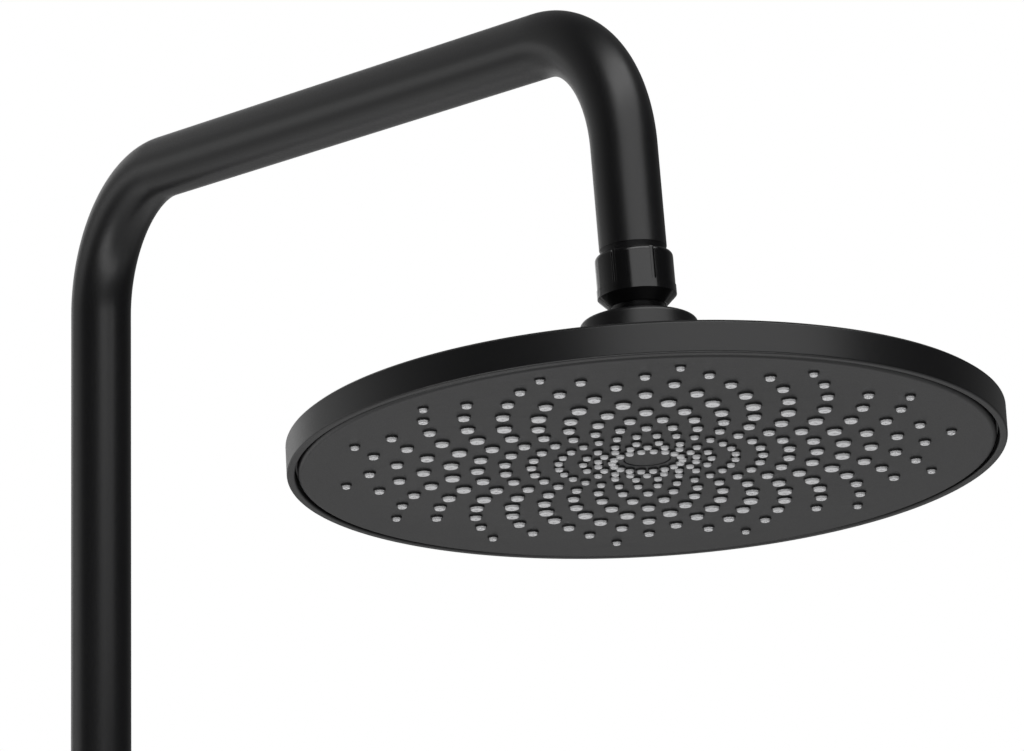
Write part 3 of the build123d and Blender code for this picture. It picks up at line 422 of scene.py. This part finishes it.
# Back shell: one injection moulding in satin black, with an upright rim, a very shallow dome and a
# threaded socket for the stem. Its rim ends in a flat lip outside the face plate.
rim_drop = 54.15
rim_place = ball_centre - rim_drop * head_up
rim_radius, rim_height, shell_top, shell_wall = 115.5, 9.85, 37.15, 2.4
lip_inside, lip_depth, rebate, rebate_depth = 112.85, 5.5, 110.7, 7.5
land_radius, land_step, dome_sag = 106.5, 0.6, 2.3
socket_radius, socket_foot, socket_floor, water_hole = 13.0, 25.15, 27.15, 5.5
dome_foot, dome_top = (114.3, 10.75), (21.0, shell_top)
dome_middle = ((dome_foot[0] + dome_top[0]) / 2, (dome_foot[1] + dome_top[1]) / 2 - dome_sag)
slope = (dome_foot[1] - dome_top[1]) / (dome_foot[0] - dome_top[0])
roof = (dome_top[0] + shell_wall, dome_top[1] + slope * shell_wall - shell_wall)
land = (land_radius, dome_top[1] + slope * (land_radius - dome_top[0]) - shell_wall - land_step)
outer_dome = arc_between(dome_top, dome_middle, dome_foot, 70)
inner_dome = arc_between(land, (dome_middle[0], dome_middle[1] - shell_wall), roof, 40)
shell_outline = rounded(np.vstack([
    [(collar_bore, shell_top, 0.3), (*dome_top, 0.2)],
    plain(outer_dome[1:-1]),
    [(*dome_foot, 0.5), (rim_radius, rim_height, 0.5), (rim_radius, 0, 0.7), (lip_inside, 0, 0.7),
     (lip_inside, lip_depth, 0.1), (rebate, lip_depth, 0.1), (rebate, rebate_depth, 0.1),
     (land_radius, rebate_depth, 0.1), (*land, 0.1)],
    plain(inner_dome[1:-1]),
    [(*roof, 0.1), (socket_radius, roof[1], 0.3), (socket_radius, socket_foot, 0.2),
     (water_hole, socket_foot, 0.2), (water_hole, socket_floor, 0.2), (collar_bore, socket_floor, 0.1)],
]), steps=5)
points, faces = carried(shell_outline, straight(rim_place, head_up, head_across), count=288)
shown_as("shell", points, faces, head_plastic, "head", "back_shell")

# Inside the head: grey plastic spray plate with a rubber seal in its groove, eight face screws and
# one centre screw that pull the face plate and the nozzle mat together.
inner_plastic = finish_of("inner_plastic", ((0.045, 0.045, 0.047), (0.060, 0.060, 0.062)),
                          (0.42, 0.56), 0.6, 0.006)
finish_nodes(inner_plastic, "spray_plate")
finish_nodes(black_rubber, "chamber_seal")
finish_nodes(turned_steel, "face_screws", "centre_screw")

# Nozzle mat: one sheet of grey silicone with 292 soft nozzles moulded on it, in twelve rings, each
# bored through. It lies behind the face plate and is pressed to it by the spray plate.
nozzle_turn = np.radians(36)
inner_ring, inner_pitch, inner_count = 11.3, 4.65, 18
outer_ring, outer_pitch, outer_count = 28.5, 8.65, 28
nozzle_width, nozzle_growth = 2.65, 0.525
inner_rings = inner_ring + inner_pitch * np.arange(3)
outer_rings = outer_ring + outer_pitch * np.arange(9)
inner_sizes = np.full(3, nozzle_width) / 2
outer_sizes = (nozzle_width + nozzle_growth * (4 - np.abs(np.arange(9) - 4))) / 2
mat_seat, mat_back, mat_radius, mat_edge_row = 4.0, 5.5, 100.7, 5.0
screw_hole = 1.55
face_radius, face_edge, face_flat, face_rise = 112.0, -0.3, 0.55, 0.9
flat_end, face_crest, face_bend = 54.0, 90.0, 100.0


def face_level(radius):
    """Height of the face plate's visible side above the rim's edge: level up to the flat's end, a rise
    eased by two equal parabolas up to the crest, then a parabola into a straight fall to the edge."""
    share = np.clip((radius - flat_end) / (face_crest - flat_end), 0, 1)
    rise = np.where(share < 0.5, 2 * share**2, 1 - 2 * (1 - share) ** 2)
    slope = (face_flat + face_rise - face_edge) / (face_radius - (face_crest + face_bend) / 2)
    past = np.clip(radius - face_crest, 0, None)
    bend = face_bend - face_crest
    fall = np.where(past < bend, past**2 / (2 * bend), past - bend / 2)
    return face_flat + face_rise * rise - slope * fall


def strip(first, second):
    """Faces between two closed loops of points. With unequal counts each step of the longer loop makes
    a triangle with the nearest point of the shorter one, and a second triangle where that changes."""
    if len(first) > len(second):
        return strip(second, first)[:, ::-1]
    step = np.arange(len(second))
    near = np.floor((step + 0.5) * len(first) / len(second) + 0.5).astype(int) % len(first)
    then = np.roll(near, -1)
    ahead = np.roll(second, -1)
    wide = np.stack([first[near], second, ahead, ahead], 1)
    changed = near != then
    narrow = np.stack([first[near], ahead, first[then], first[then]], 1)[changed]
    return np.vstack([wide, narrow])


def perforated(front, back, openings, front_edge, back_edge, middle_loops, outer_loops):
    """A round sheet with an opening for each nozzle. Each opening sits in a cell of its ring, bounded by
    two circles and two radii with twelve points, and joins it to its own twelve-sided circles, which
    run from the front to the back side. In the last ring every second cell stays closed. The inner
    and the outer rings meet in one strip of triangles, and loops of radius and height close the
    sheet in the middle and at its outer edge."""
    across = np.array([2, 1, 0, -1, -2, -2, -2, -1, 0, 1, 2, 2])
    outward = np.array([1, 1, 1, 1, 1, 0, -1, -1, -1, -1, -1, 0])
    points, faces, made, sheets = [], [], 0, []

    def add(radius, height, angle):
        nonlocal made
        block = np.stack(np.broadcast_arrays(radius * np.cos(angle), radius * np.sin(angle), height), -1)
        points.append(block.reshape(-1, 3))
        ids = made + np.arange(block[..., 0].size).reshape(block.shape[:-1])
        made += ids.size
        return ids

    for rings, sizes, count, start in ((inner_rings, inner_sizes, inner_count, 1),
                                       (outer_rings, outer_sizes, outer_count, 0)):
        pitch = rings[1] - rings[0]
        circles = rings[0] + pitch / 2 * np.arange(-1, 2 * len(rings))
        turn = nozzle_turn + 2 * np.pi * np.arange(4 * count) / (4 * count)
        front_circles, back_circles = np.minimum(circles, front_edge), np.minimum(circles, back_edge)
        front_ids = add(front_circles[:, None], front(front_circles)[:, None], turn[None, :])
        back_ids = add(back_circles[:, None], back, turn[None, :])
        ring, sector = np.arange(len(rings))[:, None, None], np.arange(count)[None, :, None]
        circle = 2 * ring + 1 + outward
        step = (4 * sector + 2 * ((ring + start) % 2) + across) % (4 * count)
        near, far = front_ids[circle, step], back_ids[circle, step]
        centre = rings[:, None, None] * np.ones((1, count, 1))
        bearing = nozzle_turn + 2 * np.pi * (sector + ((ring + start) % 2) / 2) / count
        around = np.radians(60 - 30 * np.arange(12))
        loops = [near]
        for size, height in openings(rings, sizes):
            size, height = size[:, None, None], height[:, None, None]
            along, aside = centre + size * np.cos(around), size * np.sin(around)
            loops.append(add(np.hypot(along, aside), height, bearing + np.arctan2(aside, along)))
        loops.append(far)
        solid = np.zeros((len(rings), count), bool)
        solid[-1, 1::2] = rings is outer_rings
        for one, two in zip(loops[:-1], loops[1:]):
            quads = np.stack([one, two, np.roll(two, -1, -1), np.roll(one, -1, -1)], -1)
            faces.append(quads[~solid].reshape(-1, 4))
        middle = (np.broadcast_to(2 * ring + 1, near.shape),
                  np.broadcast_to((step - across) % (4 * count), near.shape))
        for side, ids in ((near, front_ids[middle]), (far, back_ids[middle])):
            fan = np.stack([side, ids, ids, np.roll(side, -1, -1)], -1)
            fan = fan if side is near else fan[..., ::-1]
            faces.append(fan[solid].reshape(-1, 4))
        sheets.append((front_ids, back_ids, turn))
    (inner_front, inner_back, inner_turn), (outer_front, outer_back, outer_turn) = sheets
    faces += [strip(inner_front[-1], outer_front[0]), strip(outer_back[0], inner_back[-1])]
    for loops, turn, start, end in ((outer_loops, outer_turn, outer_front[-1], outer_back[-1]),
                                    (middle_loops, inner_turn, inner_back[0], inner_front[0])):
        between = [add(np.full(1, radius), np.full(1, height), turn) for radius, height in loops]
        chain = [start, *between, end]
        faces += [strip(one, two) for one, two in zip(chain[:-1], chain[1:])]
    return np.concatenate(points), np.vstack(faces)


def in_head(points):
    """Points counted from the rim's lowest plane, put in place on the head."""
    across = unit(np.array(head_across))
    return rim_place + points @ np.stack([across, np.cross(head_up, across), head_up])


nozzle_stand, nozzle_taper, tip_bevel = 1.3, 0.04, 0.28
mouth_radius, mouth_depth, jet_radius = 0.72, 0.25, 0.6


def nozzle_loops(rings, sizes):
    """A nozzle from the mat's front to its back: a slightly tapered side, a bevelled tip that stands
    out from the face, and a bore that widens to a small mouth."""
    tip = face_level(rings) - nozzle_stand
    one = np.ones(len(rings))
    return [(sizes, mat_seat * one), (sizes - nozzle_taper, tip + tip_bevel), (sizes - tip_bevel, tip),
            (mouth_radius * one, tip), (jet_radius * one, tip + mouth_depth),
            (jet_radius * one, mat_back * one)]


points, faces = perforated(
    lambda radius: np.full(len(radius), mat_seat), mat_back, nozzle_loops, mat_radius, mat_radius,
    middle_loops=[(screw_hole, mat_back), (screw_hole, mat_seat)],
    outer_loops=[(mat_radius, mat_edge_row)],
)
grey_silicone = finish_of("grey_silicone", ((0.64, 0.64, 0.65), (0.70, 0.70, 0.71)), (0.46, 0.58),
                          0.5, 0.004)
shown_as("nozzles", in_head(points), faces, grey_silicone, "head", "nozzle_mat")

# Face plate: satin black moulding with a raised lip round each nozzle's hole and an outer band that
# falls to a rounded edge. Its tongue lies behind the shell's lip, with a narrow groove between them.
hole_gap, hole_lip_wall, hole_lip_height = 0.15, 0.35, 0.55
lip_fillet, lip_bevel, hole_bevel = 0.05, 0.11, 0.06
band_middle, edge_round, tongue_radius, tongue_front, back_radius = 104.0, 1.6, 112.65, 3.0, 100.8
screw_seat, screw_head_hole, cap_seat, cap_hole, cap_hole_bevel = 3.1, 3.05, 1.9, 7.6, 0.15


def hole_loops(rings, sizes):
    """The lip's foot, its outer side, its bevelled edges and the hole to the back."""
    level = face_level(rings)
    hole, top = sizes + hole_gap, level - hole_lip_height
    outside = hole + hole_lip_wall
    return [(outside + lip_fillet, level), (outside, level - lip_fillet), (outside, top + lip_bevel),
            (outside - lip_bevel, top), (hole + hole_bevel, top), (hole, top + hole_bevel),
            (hole, mat_seat * np.ones(len(rings)))]


face_side = rounded([
    (band_middle, float(face_level(band_middle)), 0), (face_radius, face_edge, edge_round),
    (face_radius, tongue_front, 0.1), (tongue_radius, tongue_front, 0.1),
    (tongue_radius, mat_back, 0.2), (back_radius, mat_back, 0.1),
], steps=8)
points, faces = perforated(
    face_level, mat_seat, hole_loops, np.inf, back_radius,
    middle_loops=[(screw_hole, mat_seat), (screw_hole, screw_seat), (screw_head_hole, screw_seat),
                  (screw_head_hole, cap_seat), (cap_hole, cap_seat),
                  (cap_hole, face_flat + cap_hole_bevel), (cap_hole + cap_hole_bevel, face_flat)],
    outer_loops=face_side,
)
face_plastic = finish_of("face_plastic", ((0.0060, 0.0060, 0.0064), (0.0080, 0.0080, 0.0085)),
                         (0.34, 0.44), 0.4, 0.005)
shown_as("face", in_head(points), faces, face_plastic, "head", "face_plate")

# Centre cap: plain pressed button that hides the centre screw, in the face's black and set 0.2 mm
# behind the face.
cap_front, cap_radius = 0.75, 7.5
cap_outline = rounded([(0, cap_front, 0), (cap_radius, cap_front, 0.5), (cap_radius, cap_seat, 0.15),
                       (0, cap_seat, 0)], steps=5)
points, faces = carried(cap_outline, straight(rim_place, head_up, head_across), count=72)
shown_as("cap", points, faces, face_plastic, "head", "centre_cap")

# Studio: a plain pale floor well below the part, a near soft lamp in front on the right, weaker ones
# all round and below, and a world that is dark in front and light behind, most of all on the left.
view_heading = np.radians(33.317)
ahead = np.array((np.sin(view_heading), np.cos(view_heading), 0))
right = np.array((np.cos(view_heading), -np.sin(view_heading), 0))
head_middle = ball_centre / 1000
floor_level, floor_radius, floor_sides = -1.7, 4.0, 64

floor_mesh = bpy.data.meshes.new("floor")
turn = np.linspace(0, 2 * np.pi, floor_sides, endpoint=False)
floor_points = np.column_stack([floor_radius * np.cos(turn), floor_radius * np.sin(turn),
                                np.full(floor_sides, floor_level)])
floor_mesh.from_pydata(floor_points.tolist(), [], [list(range(floor_sides))])
floor = bpy.data.objects.new("floor", floor_mesh)
bpy.context.scene.collection.objects.link(floor)
floor_paint = finish_of("floor_paint", ((0.78, 0.78, 0.78), (0.80, 0.80, 0.80)), (0.7, 0.8), 3.0, 0.01)
floor_mesh.materials.append(floor_paint)


def toward(turn, rise):
    """The direction that lies so many degrees to the right of the camera and above the horizon."""
    turn, rise = np.radians(turn), np.radians(rise)
    level = -np.cos(turn) * ahead + np.sin(turn) * right
    return np.cos(rise) * level + np.sin(rise) * np.array((0, 0, 1.0))


def lamp(name, turn, rise, away, width, height, radiance, aim=head_middle):
    """A rectangular soft lamp facing the aimed point, at a distance in a direction from it. Its power
    is pi times its area times the brightness of its face."""
    light = bpy.data.lights.new(name, "AREA")
    light.shape = "RECTANGLE"
    light.size, light.size_y = width, height
    light.energy = np.pi * width * height * radiance
    stand = bpy.data.objects.new(name, light)
    x_axis, z_axis = toward(turn + 90, 0), toward(turn, rise)
    matrix = np.eye(4)
    matrix[:3, :3] = np.stack([x_axis, np.cross(z_axis, x_axis), z_axis], 1)
    matrix[:3, 3] = aim + away * z_axis
    stand.matrix_world = matrix.T.tolist()
    stand.visible_camera = False
    bpy.context.scene.collection.objects.link(stand)


lamp("key_lamp", 24, 36, 0.65, 0.95, 0.66, 1.35)
lamp("front_lamp", 20, 20, 2.6, 3.6, 1.0, 0.35)
lamp("top_lamp", 40, 68, 1.6, 2.0, 0.75, 2.5)
lamp("back_lamp", -160, 12, 2.5, 2.2, 1.3, 0.55)
lamp("left_lamp", -105, 0, 2.0, 1.2, 0.6, 0.65)
lamp("skirt_lamp", 15, -19, 1.6, 1.9, 0.45, 0.38)
for turn, radiance in ((-135, 0.5), (180, 0.15), (120, 0.15)):
    lamp("far_lamp", turn, -30, 2.0, 1.5, 0.6, radiance)
for turn, radiance in ((-95, 0.3), (-40, 2.2), (20, 2.25), (78, 0.35)):
    lamp("low_lamp", turn, -40, 1.2, 1.06, 0.55, radiance)
lamp("floor_lamp", 0, 90, 0.9, 3.6, 3.6, 0.55, aim=ahead + (0, 0, floor_level))

world = bpy.data.worlds.new("studio")
bpy.context.scene.world = world
world.use_nodes = True
tree, link = world.node_tree.nodes, world.node_tree.links.new
background = tree["Background"]
direction = tree.new("ShaderNodeTexCoord").outputs["Generated"]
glow = tree.new("ShaderNodeMath")
glow.operation = "ADD"
darkest = 0.01
lights = ((ahead, 0.2, 0.14), (toward(-125, 0), 0.3, 0.27))
for entry, (middle, start, strength) in zip(glow.inputs, lights):
    nearness = tree.new("ShaderNodeVectorMath")
    nearness.operation = "DOT_PRODUCT"
    nearness.inputs[1].default_value = middle
    link(direction, nearness.inputs[0])
    spread = tree.new("ShaderNodeMapRange")
    spread.interpolation_type = "SMOOTHSTEP"
    spread.inputs["From Min"].default_value = start
    spread.inputs["From Max"].default_value = 1.0
    spread.inputs["To Min"].default_value = darkest
    spread.inputs["To Max"].default_value = strength
    link(nearness.outputs["Value"], spread.inputs["Value"])
    link(spread.outputs["Result"], entry)
path = tree.new("ShaderNodeLightPath")
level = tree.new("ShaderNodeMix")
link(path.outputs["Is Camera Ray"], level.inputs["Factor"])
link(glow.outputs["Value"], level.inputs["A"])
level.inputs["B"].default_value = 1.0
link(level.outputs["Result"], background.inputs["Strength"])
background.inputs["Color"].default_value = (1, 1, 1, 1)

camera = bpy.data.objects.new("camera", bpy.data.cameras.new("camera"))
camera.data.lens = 228.92
camera.data.sensor_width = 36
camera.data.clip_end = 50
view_place = (-1.17182, -2.11762, -0.15376)
view_rise, view_roll = np.radians(8.944), np.radians(-0.573)
forward = np.cos(view_rise) * ahead + np.sin(view_rise) * np.array((0, 0, 1.0))
rightward = np.cos(view_roll) * right + np.sin(view_roll) * np.cross(right, forward)
matrix = np.eye(4)
matrix[:3, :3] = np.stack([rightward, np.cross(rightward, forward), -forward], 1)
matrix[:3, 3] = view_place
camera.matrix_world = matrix.T.tolist()
bpy.context.scene.collection.objects.link(camera)
bpy.context.scene.camera = camera
bpy.context.scene.view_settings.view_transform = "Standard"
